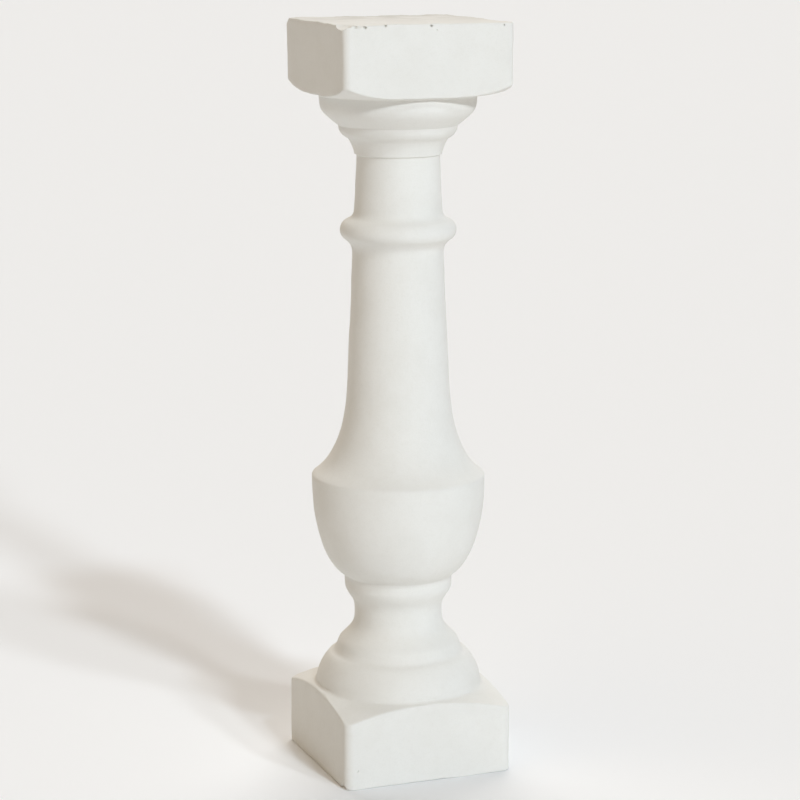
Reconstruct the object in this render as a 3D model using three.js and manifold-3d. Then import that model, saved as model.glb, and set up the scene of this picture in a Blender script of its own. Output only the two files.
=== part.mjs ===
import * as THREE from 'three';
import { mergeVertices } from 'three/addons/utils/BufferGeometryUtils.js';
import Module from 'manifold-3d';

// A baluster of cast stone in one piece: a square base block, a turned body and a square top
// block. The inner ends of the blocks are turned too, so every face of a block ends in an arc.
// Millimetres, +Z up. The origin is the centre of the underside.
// Heights belong to single mouldings, stacked from the ground up. Radii are from the axis.
// A bulge is how far a bowed moulding swells from the straight line between its two ends.

// Base block; its turned shoulder climbs from the corners to the foot of the collar
const baseWidth = 168.4;
const baseCornerHeight = 62.5;
const baseShoulderRise = 14;
const baseShoulderBulge = 0.8;

// Collar: a concave foot that spreads on to the shoulder, a steep convex moulding and its
// rounded top
const collarFootSpread = 2.8;
const collarFootHeight = 6.9;
const collarFootRadius = 78.4;
const collarHeight = 19.2;
const collarRadius = 68.9;
const collarBulge = 1.2;
const collarTopHeight = 4.4;
const collarTopRadius = 62.3;
const collarTopBulge = 0.7;

// Hollow over the collar, and the small step that ends it
const hollowHeight = 7.5;
const hollowRadius = 58.8;
const stepHeight = 4;
const stepRadius = 57.4;

// Lower neck, with the flare that widens down to the step
const lowerFlareHeight = 27.5;
const lowerNeckRadius = 42;
const lowerNeckHeight = 5.5;

// Ring under the belly: a cove, a rounded underside and a plain band
const ringCoveHeight = 8.5;
const ringCoveRadius = 44.6;
const ringCoveHollow = 0.4;
const ringRoundHeight = 12;
const ringRoundBulge = 0.6;
const ringRadius = 51.2;
const ringBandHeight = 11.3;

// Belly: part of an ellipse whose centre lies off the axis by the core radius, then a plain band
const bellyCoreRadius = 42.8;
const bellyRadius = 82.2;
const bellyHeight = 90;
const bellyBandHeight = 7;
const bellyEdgeRadius = 1.2;

// Shaft: a hollow flare over the belly, then a long straight taper
const shaftFlareHeight = 91.8;
const shaftFootRadius = 47.9;
const shaftTaperHeight = 118;
const shaftTopRadius = 42.8;

// Astragal: a round between two small coves, which meet it at the turn from its widest point
const lowerCoveHeight = 14.4;
const astragalRadius = 54.6;
const astragalRoundRadius = 10.5;
const astragalTurn = THREE.MathUtils.degToRad(60);
const upperCoveHeight = 9.2;

// Upper neck
const neckFootRadius = 41.4;
const neckHeight = 52;
const neckTopRadius = 38.6;

// Cap: a fillet, a cavetto, a bead and a large ovolo with a plain band
const filletRadius = 41;
const filletHeight = 1.6;
const cavettoHeight = 12.8;
const cavettoRadius = 46.6;
const cavettoHollow = 0.5;
const beadFootRadius = 47.8;
const beadHeight = 9;
const beadRadius = 55.6;
const beadBulge = 1.3;
const beadBandHeight = 3;
const ovoloFootRadius = 57;
const ovoloHeight = 20.5;
const ovoloRadius = 73.3;
const ovoloBandHeight = 7;
const ovoloTopRadius = 73.8;

// Top block; its shoulder leaves the ovolo level and curves up to the corners
const topGap = 0.7;
const topWidth = 166.2;
const topLedge = 4.4;
const topShoulderRise = 12.4;
const topShoulderBulge = 2.2;
const topCornerHeight = 55.8;

// Edges of both blocks
const cornerRadius = 8;
const edgeRadius = 3;

// Rise of the small ledges on which some mouldings start
const ledgeRise = 0.5;

// Facets around the turned body
const facets = 48;

const wasm = await Module();
wasm.setup();

// An outline in (radius, height), drawn upwards one moulding at a time
class Outline {
  constructor(radius, height) {
    this.points = [new THREE.Vector2(radius, height)];
  }

  get end() {
    return this.points[this.points.length - 1];
  }

  curve(curve, steps) {
    this.points.push(...curve.getPoints(steps).slice(1));
    return this;
  }

  line(radius, rise) {
    this.points.push(new THREE.Vector2(radius, this.end.y + rise));
    return this;
  }

  // A shallow bow; a negative bulge makes a hollow
  bow(radius, rise, bulge, steps) {
    const start = this.end.clone();
    const stop = new THREE.Vector2(radius, start.y + rise);
    const chord = stop.clone().sub(start);
    const outwards = new THREE.Vector2(chord.y, -chord.x).normalize();
    const control = start.clone().add(stop).multiplyScalar(0.5);
    control.addScaledVector(outwards, 2 * bulge);
    return this.curve(new THREE.QuadraticBezierCurve(start, control, stop), steps);
  }

  // A curve that leaves in one direction and arrives in another. A direction is its run
  // outwards for each unit of rise, and its hold is the share of the rise that it governs.
  flare(radius, rise, leave, arrive, steps) {
    const start = this.end.clone();
    const stop = new THREE.Vector2(radius, start.y + rise);
    const first = start.clone().add(new THREE.Vector2(leave.run, 1).multiplyScalar(leave.hold * rise));
    const last = stop.clone().sub(new THREE.Vector2(arrive.run, 1).multiplyScalar(arrive.hold * rise));
    return this.curve(new THREE.CubicBezierCurve(start, first, last, stop), steps);
  }

  // The lower part of an upright ellipse, from the outline's end out to the widest point
  swell(coreRadius, radius, rise, steps) {
    const halfWidth = radius - coreRadius;
    const turn = Math.acos((this.end.x - coreRadius) / halfWidth);
    const halfHeight = rise / Math.sin(turn);
    const centre = this.end.y + rise;
    return this.curve(
      new THREE.EllipseCurve(coreRadius, centre, halfWidth, halfHeight, -turn, 0, false), steps);
  }

  // A round that turns as far below its widest point as above it
  round(radius, turn, steps) {
    const x = this.end.x - radius * Math.cos(turn);
    const y = this.end.y + radius * Math.sin(turn);
    return this.curve(new THREE.EllipseCurve(x, y, radius, radius, -turn, turn, false), steps);
  }

  // A rounded edge that turns an upright band inwards until its run is the given one
  roundEdge(radius, run, steps) {
    const { x, y } = this.end;
    const turn = Math.atan(-run);
    return this.curve(
      new THREE.EllipseCurve(x - radius, y, radius, radius, 0, turn, false), steps);
  }
}

// A closed geometry as a solid for cuts and joins; only the positions are kept
function toSolid(geometry) {
  const bare = geometry.clone();
  bare.deleteAttribute('normal');
  bare.deleteAttribute('uv');
  const merged = mergeVertices(bare, 1e-4);
  return new wasm.Manifold(new wasm.Mesh({
    numProp: 3,
    vertProperties: new Float32Array(merged.attributes.position.array),
    triVerts: new Uint32Array(merged.index.array),
  }));
}

function toGeometry(solid) {
  const mesh = solid.getMesh();
  const geometry = new THREE.BufferGeometry();
  geometry.setAttribute('position', new THREE.BufferAttribute(mesh.vertProperties, 3));
  geometry.setIndex(new THREE.BufferAttribute(mesh.triVerts, 1));
  geometry.computeVertexNormals();
  return geometry;
}

// A square block with rounded corners and edges, from one height to another
function block(width, bottom, top) {
  const square = new THREE.Shape();
  const centre = width / 2 - cornerRadius;
  const quarter = Math.PI / 2;
  for (let corner = 0; corner < 4; corner += 1) {
    const angle = corner * quarter + quarter / 2;
    const x = Math.sign(Math.cos(angle)) * centre;
    const y = Math.sign(Math.sin(angle)) * centre;
    square.absarc(x, y, cornerRadius, corner * quarter, (corner + 1) * quarter, false);
  }
  square.closePath();
  const geometry = new THREE.ExtrudeGeometry(square, {
    depth: top - bottom - 2 * edgeRadius,
    curveSegments: 2,
    bevelThickness: edgeRadius,
    bevelSize: edgeRadius,
    bevelOffset: -edgeRadius,
    bevelSegments: 3,
  });
  geometry.translate(0, 0, bottom + edgeRadius);
  return toSolid(geometry);
}

function cylinder(radius, bottom, top) {
  const geometry = new THREE.CylinderGeometry(radius, radius, top - bottom, facets);
  geometry.rotateX(Math.PI / 2);
  geometry.translate(0, 0, (bottom + top) / 2);
  return toSolid(geometry);
}

// A block's reach is from the axis to where its sharp corner would be. The turned body runs past
// the blocks by the margin, so that only their own faces end it.
const baseReach = baseWidth / Math.SQRT2;
const topReach = topWidth / Math.SQRT2;
const margin = 10;

const shoulderTopRadius = collarFootRadius + collarFootSpread;
const outline = new Outline(0, -margin)
  .line(baseReach + margin, 0)
  .line(baseReach + margin, margin + baseCornerHeight)
  .line(baseReach, 0)
  .bow(shoulderTopRadius, baseShoulderRise, baseShoulderBulge, 6);
const collarFoot = outline.end.y;

// Directions of the main flare's foot and of the two tapers, as runs for each unit of rise
const flareRun = -1.4;
const shaftRun = (shaftTopRadius - shaftFootRadius) / shaftTaperHeight;
const neckRun = (neckTopRadius - neckFootRadius) / neckHeight;
const astragalFoot = astragalRadius - astragalRoundRadius * (1 - Math.cos(astragalTurn));

outline
  .flare(collarFootRadius, collarFootHeight, { run: -1.2, hold: 0.25 }, { run: 0, hold: 0.4 }, 3)
  .bow(collarRadius, collarHeight, collarBulge, 3)
  .bow(collarTopRadius, collarTopHeight, collarTopBulge, 2)
  .flare(hollowRadius, hollowHeight, { run: -0.6, hold: 0.3 }, { run: -0.3, hold: 0.3 }, 2)
  .line(stepRadius, stepHeight)
  .flare(lowerNeckRadius, lowerFlareHeight, { run: -0.95, hold: 0.45 }, { run: 0, hold: 0.5 }, 5)
  .line(lowerNeckRadius, lowerNeckHeight)
  .bow(ringCoveRadius, ringCoveHeight, -ringCoveHollow, 3)
  .bow(ringRadius, ringRoundHeight, ringRoundBulge, 4)
  .line(ringRadius, ringBandHeight)
  .swell(bellyCoreRadius, bellyRadius, bellyHeight, 11)
  .line(bellyRadius, bellyBandHeight)
  .roundEdge(bellyEdgeRadius, flareRun, 2)
  .flare(shaftFootRadius, shaftFlareHeight, { run: flareRun, hold: 0.08 }, { run: shaftRun, hold: 0.74 }, 12)
  .line(shaftTopRadius, shaftTaperHeight)
  .flare(astragalFoot, lowerCoveHeight, { run: shaftRun, hold: 0.45 }, { run: 1.5, hold: 0.25 }, 5)
  .round(astragalRoundRadius, astragalTurn, 8)
  .flare(neckFootRadius, upperCoveHeight, { run: -1.4, hold: 0.15 }, { run: neckRun, hold: 0.8 }, 4)
  .line(neckTopRadius, neckHeight)
  .line(filletRadius, ledgeRise)
  .line(filletRadius, filletHeight)
  .bow(cavettoRadius, cavettoHeight, -cavettoHollow, 3)
  .line(beadFootRadius, ledgeRise)
  .bow(beadRadius, beadHeight, beadBulge, 4)
  .line(beadRadius, beadBandHeight)
  .line(ovoloFootRadius, ledgeRise)
  .flare(ovoloRadius, ovoloHeight, { run: 1.1, hold: 0.36 }, { run: 0.06, hold: 0.5 }, 6)
  .line(ovoloTopRadius, ovoloBandHeight);
const ovoloTop = outline.end.y;

outline
  .line(topWidth / 2, topGap)
  .line(topWidth / 2 + topLedge, 0);

outline.bow(topReach, topShoulderRise, topShoulderBulge, 5);
const top = outline.end.y + topCornerHeight;
outline
  .line(topReach + margin, 0)
  .line(topReach + margin, topCornerHeight + margin)
  .line(0, 0);

// The turned body, cut to the two blocks where it is wider than they are
const turned = new THREE.LatheGeometry(outline.points, facets);
turned.rotateX(Math.PI / 2);
const widest = Math.max(shoulderTopRadius, bellyRadius, astragalRadius, ovoloTopRadius) + margin;
const limits = block(baseWidth, 0, collarFoot + edgeRadius)
  .add(cylinder(widest, collarFoot, ovoloTop))
  .add(block(topWidth, ovoloTop - edgeRadius, top));
const solid = toSolid(turned).intersect(limits);

const castStone = new THREE.MeshStandardMaterial({ color: 0xe4e3dd, roughness: 0.9, metalness: 0 });
const baluster = new THREE.Mesh(toGeometry(solid), castStone);
baluster.name = 'baluster';

const part = new THREE.Group();
part.add(baluster);

export default part;
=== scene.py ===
import math

import bmesh
import bpy
import numpy as np
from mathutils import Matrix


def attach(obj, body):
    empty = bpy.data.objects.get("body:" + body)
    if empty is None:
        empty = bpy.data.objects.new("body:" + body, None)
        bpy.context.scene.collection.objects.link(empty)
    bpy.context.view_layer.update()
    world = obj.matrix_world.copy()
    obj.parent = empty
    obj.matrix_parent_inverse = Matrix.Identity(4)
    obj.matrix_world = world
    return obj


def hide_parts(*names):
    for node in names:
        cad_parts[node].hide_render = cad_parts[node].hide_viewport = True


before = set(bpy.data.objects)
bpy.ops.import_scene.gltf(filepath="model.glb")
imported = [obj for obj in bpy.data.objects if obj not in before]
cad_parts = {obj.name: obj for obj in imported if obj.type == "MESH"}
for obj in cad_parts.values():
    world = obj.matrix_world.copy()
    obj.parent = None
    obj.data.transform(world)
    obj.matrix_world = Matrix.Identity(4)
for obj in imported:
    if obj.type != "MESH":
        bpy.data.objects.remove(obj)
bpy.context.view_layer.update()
mm = 0.001  # the dictionaries below hold millimetres and degrees, Blender holds metres
print("frame loaded")


# the casting
shaftSlope = -0.0432  # run per unit of rise, about 5.1 mm in 118 mm
neckSlope = -0.0538  # about 2.8 mm in 52 mm

baluster = {
    "baseWidth": 168.4,
    "baseCornerHeight": 62.5,
    "baseCornerRadius": 9,
    "topWidth": 166.2,
    "topCornerHeight": 55.8,
    "topCornerRadius": 8,
    "topDraft": 0.8,  # how much each face of a block leans in, from the mould
    "baseDraft": 0.4,

    # each moulding from the corners of the base block up to those of the top block:
    # its form, the radius that it ends on, its rise and what else its form needs
    "mouldings": [
        ("bow", 81.2, 14, 0.8),  # turned shoulder of the base block
        ("flare", 78.4, 6.9, -1.2, 0.25, 0, 0.4),  # it runs up into the collar
        ("bow", 68.9, 19.2, 1.2),  # collar
        ("bow", 62.3, 4.4, 0.7),  # its rounded top
        ("flare", 58.8, 7.5, -0.6, 0.3, -0.3, 0.3),  # hollow
        ("line", 57.4, 4),  # step
        ("flare", 42, 27.5, -0.95, 0.45, 0, 0.5),  # lower flare
        ("line", 42, 5.5),  # lower neck
        ("bow", 44.6, 8.5, -0.4),  # cove of the ring
        ("bow", 51.2, 12, 0.6),  # rounded underside of the ring
        ("line", 51.2, 11.3),  # band of the ring
        ("swell", 82.2, 90, 42.8),  # belly
        ("line", 82.2, 7),  # band of the belly
        ("edge", 81.7, 0.976, 1.2),  # its rounded arris
        ("flare", 47.9, 91.8, -1.4, 0.08, shaftSlope, 0.74),  # hollow flare of the shaft
        ("line", 42.8, 118),  # shaft
        ("flare", 49.35, 14.4, shaftSlope, 0.45, 1.5, 0.25),  # cove under the astragal
        ("round", 49.35, 18.187, 10.5),  # astragal
        ("flare", 41.4, 9.2, -1.4, 0.15, neckSlope, 0.8),  # cove over it
        ("line", 38.6, 52),  # upper neck
        ("line", 41, 0.5),
        ("line", 41, 1.6),  # fillet
        ("bow", 46.6, 12.8, -0.5),  # cavetto
        ("line", 47.8, 0.5),
        ("bow", 55.6, 9, 1.3),  # bead
        ("line", 55.6, 3),
        ("line", 57, 0.5),
        ("flare", 73.3, 20.5, 1.1, 0.36, 0.06, 0.5),  # ovolo
        ("line", 73.8, 7),  # band of the ovolo
        ("line", 83.1, 0.7),  # underside of the top block
        ("line", 87.5, 0),
        ("bow", 117.52, 12.4, 2.2),  # turned shoulder of the top block
    ],
    "softening": 0.55,  # how far the mould and handling have rounded every moulding

    # softened edges of the blocks: the size of each, and its waves as share, length and seed
    "bottomEdge": (2.2, [(0.3, 40, 6), (0.15, 12, 7)]),
    "baseShoulderEdge": (2.2, [(0.25, 30, 8)]),
    "topEdge": (2.6, [(0.35, 35, 9), (0.2, 10, 10)]),
    "topShoulderEdge": (2.2, [(0.25, 30, 11)]),
    "edgeCircle": 100,  # radius of the circle that these waves are read on

    # unevenness of the casting, slow and fine: the length, depth and seed of each
    "castWaves": [(60, 0.25, 21), (15, 0.08, 22)],
    # the top is the open face of the mould, filled and struck off by hand
    "fillWaves": [(30, 0.3, 23), (7, 0.15, 24)],
    "fillAtEdge": 0.25,  # share of that depth where the top edge begins

    # broken places: a point of each, the way that it faces there and the radius of its hollow
    "breaks": [
        (-80.5, -65.5, 705.4, -0.2, -0.3, 0.93, 26),  # top corner at the front left, two flakes
        (-80, -78, 705.7, -0.25, -0.2, 0.95, 28),
        (-78.9, 78.9, 703.6, -0.55, 0.5, 0.67, 90),  # top corner behind it
        (-64, -81.2, 707.2, -0.3, -0.5, 0.8, 9),  # top edge at the front
        (-81.5, -72, 1.6, -0.7, -0.3, -0.65, 12),  # bottom corner
    ],
    "breakGrain": (7, 0.35),  # length and depth of the unevenness in a break
    "breakSeed": 31,

    # air holes: the middle and the half sizes along x, y and z of each
    "airHoles": [
        (-76.3, -80.8, 706.9, 1.4, 1.8, 1.1),
        (-71.5, -80.9, 706.7, 2.8, 2.1, 1.8),
        (-62.3, -81.3, 706.2, 2.1, 1.8, 1.5),
        (-43, -81.5, 707.2, 1.6, 1.8, 1.2),
        (0.5, -82, 706.8, 1.6, 1.6, 1.2),
        (5.5, -83, 703, 0.8, 0.8, 0.7),
        (71, -82, 706.5, 1.0, 1.0, 0.9),
        (30, -83.2, 695.3, 0.6, 0.8, 0.6),
        (-72.1, -84, 18.5, 1.2, 0.9, 1.1),
        (-84, -1.7, 71.6, 0.9, 1.6, 1.0),
        (83, 34, 690, 0.9, 1.3, 1.1),
        (84, -47, 31, 0.9, 1.1, 1.4),
        (-29, 84, 22, 1.5, 1.0, 1.2),
        (51, 83.1, 668, 1.2, 0.9, 0.9),
        (-22, 83.2, 699, 1.0, 0.8, 1.0),
        (-83, 38, 677, 0.7, 0.8, 0.7),
    ],
    "holeGrain": (2, 0.2),
    "holeSeed": 51,

    "sharpAngle": 42,  # faces that meet at more than this keep a sharp edge
}

# how finely the casting is divided
grid = {
    "columnsPerFace": 84,
    "crowding": 0.6,  # how much closer the columns stand at the corners of the blocks
    "baseInner": 79.2,  # from these radii the shoulders are gridded out to the faces
    "topInner": 75.2,
    "underRows": 5,
    "edgeRows": 6,
    "shoulderEdgeRows": 5,
    "baseFaceRows": 21,
    "baseShoulderRows": 9,
    "turnedRows": 160,
    "longestStep": 5.0,  # between turned rows
    "bendPower": 0.6,  # how strongly turned rows crowd where the outline bends
    "bendWindow": 9,  # steps of the outline that the bend is averaged over
    "topShoulderRows": 10,
    "topFaceRows": 20,
    "topRows": 26,
    "outlineStep": 0.2,
    "bowPoints": 60,  # along each moulding of this form, before it is evened out
    "flarePoints": 120,
    "swellPoints": 120,
    "edgePoints": 12,
    "roundPoints": 60,
    "breakFineness": 5,
    "holeFineness": 4,
}


def waves(points, length, seed):
    # smooth noise, mostly between -1.5 and 1.5: the sum of sine waves over the root of their
    # number, each with its own seeded direction, length and phase
    count, shortest, longest = 40, 0.7, 1.5  # the last two are shares of the length
    draw = np.random.default_rng(seed)
    direction = draw.normal(size=(count, 3))
    direction /= np.linalg.norm(direction, axis=1)[:, None]
    frequency = direction / (length * draw.uniform(shortest, longest, count))[:, None]
    phase = draw.uniform(0, 2 * np.pi, count)
    return np.sin(2 * np.pi * points @ frequency.T + phase).sum(-1) / math.sqrt(count)


def bezier(corners, steps):
    # the curve that its control points pull on: repeated straight blends between neighbours
    t = np.linspace(0, 1, steps)[:, None]
    level = [np.broadcast_to(np.array(corner, float), (steps, 2)) for corner in corners]
    while len(level) > 1:
        level = [(1 - t) * a + t * b for a, b in zip(level, level[1:])]
    return level[0]


def moulding(start, form, radius, rise, *more):
    # one moulding of the outline as (radius, height) points, from start to its own end; the
    # last two forms work out their end radius from their rise and their own rounding
    end = np.array([radius, start[1] + rise])
    if form == "line":
        return np.array([start, end])
    if form == "bow":  # one control point, twice the bulge away from the middle of the chord
        chord = end - start
        outwards = np.array([chord[1], -chord[0]]) / np.hypot(*chord)
        return bezier([start, (start + end) / 2 + 2 * more[0] * outwards, end], grid["bowPoints"])
    if form == "flare":  # leaves and arrives in given directions, run per unit of rise
        leaveRun, leaveHold, arriveRun, arriveHold = more
        first = start + np.array([leaveRun, 1]) * leaveHold * rise
        last = end - np.array([arriveRun, 1]) * arriveHold * rise
        return bezier([start, first, last, end], grid["flarePoints"])
    if form == "swell":  # the lower part of an ellipse whose centre lies off the axis
        core = more[0]
        turn = math.acos((start[0] - core) / (radius - core))
        angle = np.linspace(-turn, 0, grid["swellPoints"])
        height = end[1] + rise / math.sin(turn) * np.sin(angle)
        return np.column_stack([core + (radius - core) * np.cos(angle), height])
    if form == "edge":  # a round that turns in from upright
        turn = math.asin(rise / more[0])
        angle = np.linspace(0, turn, grid["edgePoints"])
        centre = start - np.array([more[0], 0])
        return centre + more[0] * np.column_stack([np.cos(angle), np.sin(angle)])
    if form == "round":  # a round that turns as far below its widest point as above it
        turn = math.asin(rise / 2 / more[0])
        angle = np.linspace(-turn, turn, grid["roundPoints"])
        centre = start + np.array([-math.cos(turn), math.sin(turn)]) * more[0]
        return centre + more[0] * np.column_stack([np.cos(angle), np.sin(angle)])
    raise ValueError(form)


def turnedOutline():
    # all mouldings joined, evened out to short steps and softened by a bell-shaped average
    corner = [baluster["baseWidth"] / math.sqrt(2), baluster["baseCornerHeight"]]
    points = [np.array([corner])]
    for row in baluster["mouldings"]:
        points.append(moulding(points[-1][-1], *row)[1:])
    points = np.concatenate(points)
    length = np.concatenate([[0], np.cumsum(np.hypot(*np.diff(points, axis=0).T))])
    step, softening = grid["outlineStep"], baluster["softening"]
    even = np.arange(0, length[-1], step)
    points = np.column_stack([np.interp(even, length, points[:, k]) for k in (0, 1)])
    bellWidths = 4  # past these the bell is next to nothing
    reach = int(bellWidths * softening / step)
    bell = np.exp(-0.5 * (np.arange(-reach, reach + 1) * step / softening) ** 2)
    bell /= bell.sum()
    before = points[0] + (points[0] - points[1]) * np.arange(reach, 0, -1)[:, None]
    after = points[-1] + (points[-1] - points[-2]) * np.arange(1, reach + 1)[:, None]
    padded = np.concatenate([before, points, after])
    return np.column_stack([np.convolve(padded[:, k], bell, "valid") for k in (0, 1)])


def rowsWhereItTurns(points, count):
    # rows along an outline, as many per millimetre as the longest step asks for, and the rest
    # shared out by how much the outline bends, raised to a power
    piece = np.diff(points, axis=0)
    length = np.hypot(*piece.T)
    heading = np.unwrap(np.arctan2(piece[:, 1], piece[:, 0]))
    window = grid["bendWindow"]
    bend = np.convolve(np.abs(np.gradient(heading)) / length, np.ones(window) / window, "same")
    plain = 1 / grid["longestStep"]
    rest = count - plain * length.sum()
    share = bend ** grid["bendPower"]
    density = plain + share * rest / (share * length).sum()
    total = np.concatenate([[0], np.cumsum(density * length)])
    pick = np.linspace(0, total[-1], count)
    return np.column_stack([np.interp(pick, total, points[:, k]) for k in (0, 1)])


def reachOf(angle, width, rounding):
    # distance from the axis to the side of a square with rounded corners, in a direction: half
    # the width over the larger of cosine and sine, or where the ray leaves the corner's circle
    a, b = np.abs(np.cos(angle)), np.abs(np.sin(angle))
    centre = width / 2 - rounding
    flat = width / 2 / np.maximum(a, b)
    along = centre * (a + b)
    corner = along + np.sqrt(np.maximum(along ** 2 - 2 * centre ** 2 + rounding ** 2, 0))
    return np.where(flat * np.minimum(a, b) <= centre, flat, corner)


def edgeSize(name, angle):
    # size of a softened edge in each direction: its size times one plus the sum of its waves
    size, edgeWaves = baluster[name]
    circle = np.column_stack([np.cos(angle), np.sin(angle), np.zeros_like(angle)])
    circle *= baluster["edgeCircle"]
    return size * (1 + sum(share * waves(circle, length, seed) for share, length, seed in edgeWaves))


def turnedEdge(first, middle, last, steps):
    # an edge rounded by a curve pulled to its sharp corner, for every column at once
    t = np.linspace(0, 1, steps)[:, None, None]
    first, middle, last = (np.stack(pair, axis=-1)[None] for pair in (first, middle, last))
    return (1 - t) ** 2 * first + 2 * (1 - t) * t * middle + t ** 2 * last


def between(first, last, steps):
    # even rows from one ring of points to another, without the first and the last ring
    t = np.linspace(0, 1, steps + 2)[1:-1, None, None]
    return np.stack(first, -1)[None] * (1 - t) + np.stack(last, -1)[None] * t


def acrossShoulder(first, last, steps, heightAt):
    # even rows in radius, each at the height of the shoulder, without the first and the last
    t = np.linspace(0, 1, steps + 2)[1:-1, None]
    radius = first * (1 - t) + last * t
    return np.stack([radius, heightAt(radius)], -1)


def castingGrid():
    # rows of (radius, height) from the middle of the underside, out and up to the middle of
    # the top; each column of the grid is one direction round the axis, and the columns stand
    # closer together by a sine wave towards each corner of the blocks
    s = np.linspace(-1, 1, grid["columnsPerFace"], endpoint=False)
    quarter = (s + grid["crowding"] * np.sin(np.pi * s) / np.pi) * np.pi / 4
    angle = np.concatenate([quarter + k * np.pi / 2 for k in range(4)])
    flat = np.zeros_like(angle)

    outline = turnedOutline()
    foot = np.argmax(outline[:, 0] <= grid["baseInner"])
    widest = len(outline) - np.argmax(outline[::-1, 0] <= grid["topInner"])
    lowShoulder, highShoulder = outline[:foot + 1], outline[widest - 1:]
    body = rowsWhereItTurns(outline[foot:widest], grid["turnedRows"])

    def lowHeight(r):
        return np.interp(-r, -lowShoulder[:, 0], lowShoulder[:, 1])

    def highHeight(r):
        return np.interp(r, highShoulder[:, 0], highShoulder[:, 1])

    # base block
    reach = reachOf(angle, baluster["baseWidth"], baluster["baseCornerRadius"])
    edge = edgeSize("bottomEdge", angle)
    nose = edgeSize("baseShoulderEdge", angle)
    low = lowHeight(reach)
    onShoulder = (reach - nose, lowHeight(reach - nose))
    strips = [
        ("under", between((flat, flat), (reach - edge, flat), grid["underRows"])),
        ("bottomEdge", turnedEdge((reach - edge, flat), (reach, flat), (reach, edge),
                                  grid["edgeRows"])),
        ("face", between((reach, edge), (reach, low - nose), grid["baseFaceRows"])),
        ("face", turnedEdge((reach, low - nose), (reach, low), onShoulder,
                            grid["shoulderEdgeRows"])),
        ("face", acrossShoulder(reach - nose, outline[foot, 0], grid["baseShoulderRows"],
                                lowHeight)),
    ]

    strips.append(("turned", np.broadcast_to(body[:, None, :], (len(body), len(angle), 2))))

    # top block
    reach = reachOf(angle, baluster["topWidth"], baluster["topCornerRadius"])
    edge = edgeSize("topEdge", angle)
    nose = edgeSize("topShoulderEdge", angle)
    low = highHeight(reach)
    high = np.full_like(angle, outline[-1, 1] + baluster["topCornerHeight"])
    onShoulder = (reach - nose, highHeight(reach - nose))
    strips += [
        ("face", acrossShoulder(outline[widest - 1, 0], reach - nose, grid["topShoulderRows"],
                                highHeight)),
        ("face", turnedEdge(onShoulder, (reach, low), (reach, low + nose),
                            grid["shoulderEdgeRows"])),
        ("face", between((reach, low + nose), (reach, high - edge), grid["topFaceRows"])),
        ("topEdge", turnedEdge((reach, high - edge), (reach, high), (reach - edge, high),
                               grid["edgeRows"])),
        ("top", between((reach - edge, high), (flat, high), grid["topRows"])),
    ]
    zone = np.repeat([name for name, rows in strips], [len(rows) for name, rows in strips])
    return angle, np.concatenate([rows for name, rows in strips]), zone


def draftOf(rz, zone):
    # how far a face of a block leans in: nothing at its free end, the full draft at its shoulder
    height = rz[..., 1]
    top = height.max()
    low = (height / baluster["baseCornerHeight"]).clip(0, 1) * baluster["baseDraft"]
    high = ((top - height) / baluster["topCornerHeight"]).clip(0, 1) * baluster["topDraft"]
    block = np.isin(zone, ["face", "bottomEdge", "topEdge"])[:, None]
    return np.where(height < top / 2, low, high) * block


def gridNormals(xyz):
    # the cross product of the step to the next column and the step to the next row
    across = np.roll(xyz, -1, 1) - np.roll(xyz, 1, 1)
    along = np.gradient(xyz, axis=0)
    normal = np.cross(across, along)
    return normal / np.maximum(np.linalg.norm(normal, axis=-1, keepdims=True), 1e-9)


def castingMesh():
    # the grid turned round the axis, each point then moved in along its normal: by the draft
    # and by every unevenness, its depth times 1 minus its waves, or minus its waves alone
    angle, rz, zone = castingGrid()
    xyz = np.stack([rz[..., 0] * np.cos(angle), rz[..., 0] * np.sin(angle), rz[..., 1]], -1)
    normal = gridNormals(xyz)

    # on the blocks the 1 makes it go inwards only, so they keep within their size
    inwards = np.isin(zone, ["turned"], invert=True)[:, None] * 1.0
    depth = sum(most * (inwards - waves(xyz, length, seed).clip(-1, 1))
                for length, most, seed in baluster["castWaves"])
    depth += draftOf(rz, zone)
    fill = sum(most * (1 - waves(xyz, length, seed).clip(-1, 1))
               for length, most, seed in baluster["fillWaves"])

    # the underside stays flat, and the fill shows on the top alone
    castShare = np.ones(len(zone))
    castShare[zone == "under"] = 0
    castShare[zone == "bottomEdge"] = np.linspace(0, 1, grid["edgeRows"])
    fillShare = np.zeros(len(zone))
    fillShare[zone == "topEdge"] = np.linspace(baluster["fillAtEdge"], 1, grid["edgeRows"])
    fillShare[zone == "top"] = 1
    depth = depth * castShare[:, None] + fill * fillShare[:, None]
    xyz = xyz - normal * depth[..., None]

    # four-sided faces between the rows, and a fan of triangles at the middle of each end
    rowCount, columnCount = xyz.shape[:2]
    centres = np.array([[0, 0, 0], [0, 0, xyz[-1, :, 2].mean()]])
    points = np.concatenate([xyz.reshape(-1, 3), centres]) * mm
    row, column = np.meshgrid(np.arange(rowCount - 1), np.arange(columnCount), indexing="ij")
    nextColumn = (column + 1) % columnCount
    quads = np.stack([row * columnCount + column, row * columnCount + nextColumn,
                      (row + 1) * columnCount + nextColumn, (row + 1) * columnCount + column], -1)
    first = np.arange(columnCount)
    second = (first + 1) % columnCount
    bottom = len(points) - 2
    lastRow = (rowCount - 1) * columnCount
    fans = np.concatenate([
        np.stack([second, first, np.full(columnCount, bottom)], -1),
        np.stack([lastRow + first, lastRow + second, np.full(columnCount, bottom + 1)], -1),
    ])
    return points, quads.reshape(-1, 4).tolist() + fans.tolist()


def meshObject(name, points, faces):
    mesh = bpy.data.meshes.new(name)
    mesh.from_pydata(points.tolist(), [], faces)
    mesh.validate()
    piece = bpy.data.objects.new(name, mesh)
    bpy.context.scene.collection.objects.link(piece)
    return piece


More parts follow.
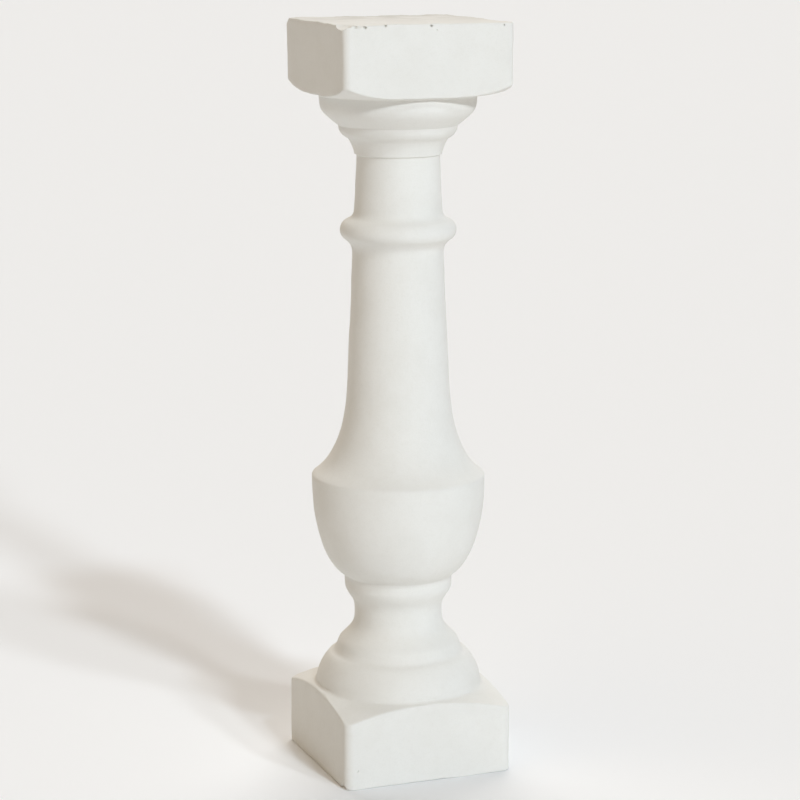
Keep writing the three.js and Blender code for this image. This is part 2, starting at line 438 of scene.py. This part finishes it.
def roughBalls(name, places, halfSizes, grain, seed, fineness):
    # one mesh of uneven ellipsoids: each place plus its half sizes times a unit ball, whose
    # points move in and out by depth times smooth noise
    length, depth = grain
    ball = bmesh.new()
    bmesh.ops.create_icosphere(ball, subdivisions=fineness, radius=1)
    unit = np.array([vertex.co for vertex in ball.verts])
    corners = np.array([[vertex.index for vertex in face.verts] for face in ball.faces])
    ball.free()
    points, faces = [], []
    for number, (place, halfSize) in enumerate(zip(places, halfSizes)):
        surface = unit * halfSize
        swell = depth * waves(surface, length, seed + number)[:, None]
        faces.append(corners + number * len(unit))
        points.append(surface + unit * swell + place)
    return meshObject(name, np.concatenate(points) * mm, np.concatenate(faces).tolist())


def cutAway(piece, cutter):
    # takes the cutter's solid away from the piece for good
    cut = piece.modifiers.new("cut", "BOOLEAN")
    cut.operation = "DIFFERENCE"
    cut.solver = "MANIFOLD"
    cut.object = cutter
    whole = piece.data
    depsgraph = bpy.context.evaluated_depsgraph_get()
    piece.data = bpy.data.meshes.new_from_object(piece.evaluated_get(depsgraph))
    piece.modifiers.clear()
    bpy.data.meshes.remove(whole)
    bpy.data.objects.remove(cutter)


points, faces = castingMesh()
casting = meshObject("casting", points, faces)
print("casting shaped:", len(points), "points")
for number, row in enumerate(baluster["breaks"]):  # one at a time, as they may run together
    place, facing, radius = np.array(row[:3]), np.array(row[3:6]), row[6]
    middle = place + facing / np.linalg.norm(facing) * radius
    cutAway(casting, roughBalls("break", [middle], [radius], baluster["breakGrain"],
                                baluster["breakSeed"] + number, grid["breakFineness"]))
holes = np.array(baluster["airHoles"])
cutAway(casting, roughBalls("airHoles", holes[:, :3], holes[:, 3:], baluster["holeGrain"],
                            baluster["holeSeed"], grid["holeFineness"]))
print("breaks and air holes cut:", len(casting.data.polygons), "faces")
casting.data.shade_smooth()
casting.data.set_sharp_from_angle(angle=math.radians(baluster["sharpAngle"]))
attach(casting, "root")
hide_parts("baluster")


# materials
def linear(hexColour):
    # sRGB hex to linear light, with full opacity
    values = [int(hexColour[k:k + 2], 16) / 255 for k in (1, 3, 5)]
    values = [v / 12.92 if v <= 0.04045 else ((v + 0.055) / 1.055) ** 2.4 for v in values]
    return (*values, 1.0)


def addNode(tree, kind, settings=None, inputs=None):
    # a node with its settings; an input is a value, or an output of another node to link from
    node = tree.nodes.new(kind)
    for name, value in (settings or {}).items():
        setattr(node, name, value)
    for name, value in (inputs or {}).items():
        if isinstance(value, bpy.types.NodeSocket):
            tree.links.new(value, node.inputs[name])
        else:
            node.inputs[name].default_value = value
    return node


stone = {
    "body": "#e9e8e3",
    "patch": "#dedcd5",
    # painted shade: the grey laid on the far half of the top face where shade falls
    "paintedShade": "#bfbcb4",
    # patterns of the patch colour: the size of each, its detail and roughness, the span of its
    # noise over which it comes in, and its share at most
    "patterns": {
        "cloud": (38, 3.0, 0.55, 0.42, 0.68, 0.25),
        "mottle": (5, 4.0, 0.6, 0.5, 0.75, 0.2),
        "grain": (1.3, 2.0, 0.7, 0.5, 0.75, 0.3),
    },
    "paintedShadeHeights": (707, 708.3),  # the painted shade comes in over this height
    "paintedShadePlaces": (-40, 60),  # and over this stretch from front to back
    "paintedShadeClouds": (0.35, 0.6),  # and over this span of the cloud's noise
    "paintedShadeShares": (0.15, 0.6),  # from the least to the most
    "mottleBump": (0.5, 0.3),  # strength and depth
    "grainBump": (0.6, 0.12),
    "roughness": 0.88,
    "refraction": 1.5,
}


def castStone():
    # white cement and limestone dust cast in a smooth mould: chalky, dry and matt, with faint
    # cloudy patches, a sand grain that barely shows, and painted shade on the far half of the top
    material = bpy.data.materials.new("white cast stone")
    material.use_nodes = True
    tree = material.node_tree
    tree.nodes.clear()
    place = addNode(tree, "ShaderNodeTexCoord").outputs["Object"]
    noise = {}
    colour = linear(stone["body"])
    for name, (size, detail, roughness, low, high, most) in stone["patterns"].items():
        noise[name] = addNode(tree, "ShaderNodeTexNoise", None, {
            "Vector": place, "Scale": 1 / (size * mm), "Detail": detail,
            "Roughness": roughness}).outputs["Fac"]
        share = addNode(tree, "ShaderNodeMapRange", None, {
            "Value": noise[name], "From Min": low, "From Max": high, "To Max": most})
        # a mix of colours takes its share at 0 and the colours at 6 and 7, and gives it at 2
        colour = addNode(tree, "ShaderNodeMix", {"data_type": "RGBA"}, {
            0: share.outputs[0], 6: colour, 7: linear(stone["patch"])}).outputs[2]

    # painted shade: the far half of the top face is greyed in patches, standing in for the shade
    # that falls there
    axes = addNode(tree, "ShaderNodeSeparateXYZ", None, {0: place})
    lowest, highest = stone["paintedShadeHeights"]
    onTop = addNode(tree, "ShaderNodeMapRange", None, {
        "Value": axes.outputs["Z"], "From Min": lowest * mm, "From Max": highest * mm})
    front, back = stone["paintedShadePlaces"]
    farSide = addNode(tree, "ShaderNodeMapRange", None, {
        "Value": axes.outputs["Y"], "From Min": front * mm, "From Max": back * mm})
    clear, cloudy = stone["paintedShadeClouds"]
    least, most = stone["paintedShadeShares"]
    patchy = addNode(tree, "ShaderNodeMapRange", None, {
        "Value": noise["cloud"], "From Min": clear, "From Max": cloudy, "To Min": least,
        "To Max": most})
    paintedShade = addNode(tree, "ShaderNodeMath", {"operation": "MULTIPLY"}, {
        0: onTop.outputs[0], 1: farSide.outputs[0]})
    paintedShade = addNode(tree, "ShaderNodeMath", {"operation": "MULTIPLY"}, {
        0: paintedShade.outputs[0], 1: patchy.outputs[0]})
    colour = addNode(tree, "ShaderNodeMix", {"data_type": "RGBA"}, {
        0: paintedShade.outputs[0], 6: colour, 7: linear(stone["paintedShade"])}).outputs[2]

    strength, depth = stone["mottleBump"]
    bump = addNode(tree, "ShaderNodeBump", None, {
        "Height": noise["mottle"], "Strength": strength, "Distance": depth * mm})
    strength, depth = stone["grainBump"]
    bump = addNode(tree, "ShaderNodeBump", None, {
        "Height": noise["grain"], "Strength": strength, "Distance": depth * mm,
        "Normal": bump.outputs["Normal"]})
    shader = addNode(tree, "ShaderNodeBsdfPrincipled", None, {
        "Base Color": colour, "Roughness": stone["roughness"], "IOR": stone["refraction"],
        "Normal": bump.outputs["Normal"]})
    addNode(tree, "ShaderNodeOutputMaterial", None, {"Surface": shader.outputs[0]})
    return material


casting.data.materials.clear()  # the cuts leave an empty slot
casting.data.materials.append(castStone())
print("stone finished")


# studio
studio = {
    "floorColour": "#f2f4f6",
    "floorRoughness": 0.9,
    "floorSize": 120000,
    "sky": (0.054, 0.027, 0.002),  # faint warm light from all round
}

# each light: how far it turns to the right of the camera, its rise, its spread and its light
lights = {
    "key": (30, 25, 5, (0.275, 0.297, 0.319)),
    "keyBeside": (42, 25, 5, (0.212, 0.226, 0.240)),
    "keyAbove": (30, 45, 5, (0.145, 0.166, 0.185)),
    "warmFill": (-60, 45, 60, (0.207, 0.174, 0.133)),
    "behind": (180, 45, 60, (0.622, 0.607, 0.590)),  # mostly for the floor
}

view = {
    "distance": 2387.7,  # level distance from the axis
    "eyeHeight": 825.0,
    "swing": 20.80,  # how far the camera stands to the left of the front face
    "pitch": 11.22,  # how far it looks down
    "aside": 1.8,  # how far it stands to the right of the line to the axis
    "lens": 115.55,  # its focal length
    "sensorWidth": 36,
    "farthest": 200000,  # how far it sees
}


def makeCamera():
    swing = math.radians(view["swing"])
    forward = np.array([math.sin(swing), math.cos(swing)])
    right = np.array([math.cos(swing), -math.sin(swing)])
    spot = (right * view["aside"] - forward * view["distance"]) * mm
    data = bpy.data.cameras.new("camera")
    data.lens = view["lens"]
    data.sensor_width = view["sensorWidth"]
    data.clip_end = view["farthest"] * mm
    camera = bpy.data.objects.new("camera", data)
    camera.location = (*spot, view["eyeHeight"] * mm)
    camera.rotation_euler = (math.radians(90 - view["pitch"]), 0, -swing)
    bpy.context.scene.collection.objects.link(camera)
    bpy.context.scene.camera = camera


def sunLight(name, turn, rise, spread, light):
    # even light from far away; a white surface that faces it takes on its colour
    data = bpy.data.lights.new(name, "SUN")
    data.angle = math.radians(spread)
    data.energy = math.pi
    data.color = light
    sun = bpy.data.objects.new(name, data)
    sun.rotation_euler = (math.radians(90 - rise), 0, math.radians(turn - view["swing"]))
    bpy.context.scene.collection.objects.link(sun)


makeCamera()
for name, values in lights.items():
    sunLight(name, *values)

world = bpy.data.worlds.new("studio")
world.use_nodes = True
world.node_tree.nodes["Background"].inputs["Color"].default_value = (*studio["sky"], 1)
bpy.context.scene.world = world
bpy.context.scene.view_settings.view_transform = "Standard"

half = studio["floorSize"] * mm / 2
floor = meshObject("floor", np.array([[-half, -half, 0], [half, -half, 0], [half, half, 0],
                                      [-half, half, 0]]), [[0, 1, 2, 3]])
paint = bpy.data.materials.new("matt white paint")
paint.use_nodes = True
shader = paint.node_tree.nodes["Principled BSDF"]
shader.inputs["Base Color"].default_value = linear(studio["floorColour"])
shader.inputs["Roughness"].default_value = studio["floorRoughness"]
floor.data.materials.append(paint)
print("studio set")
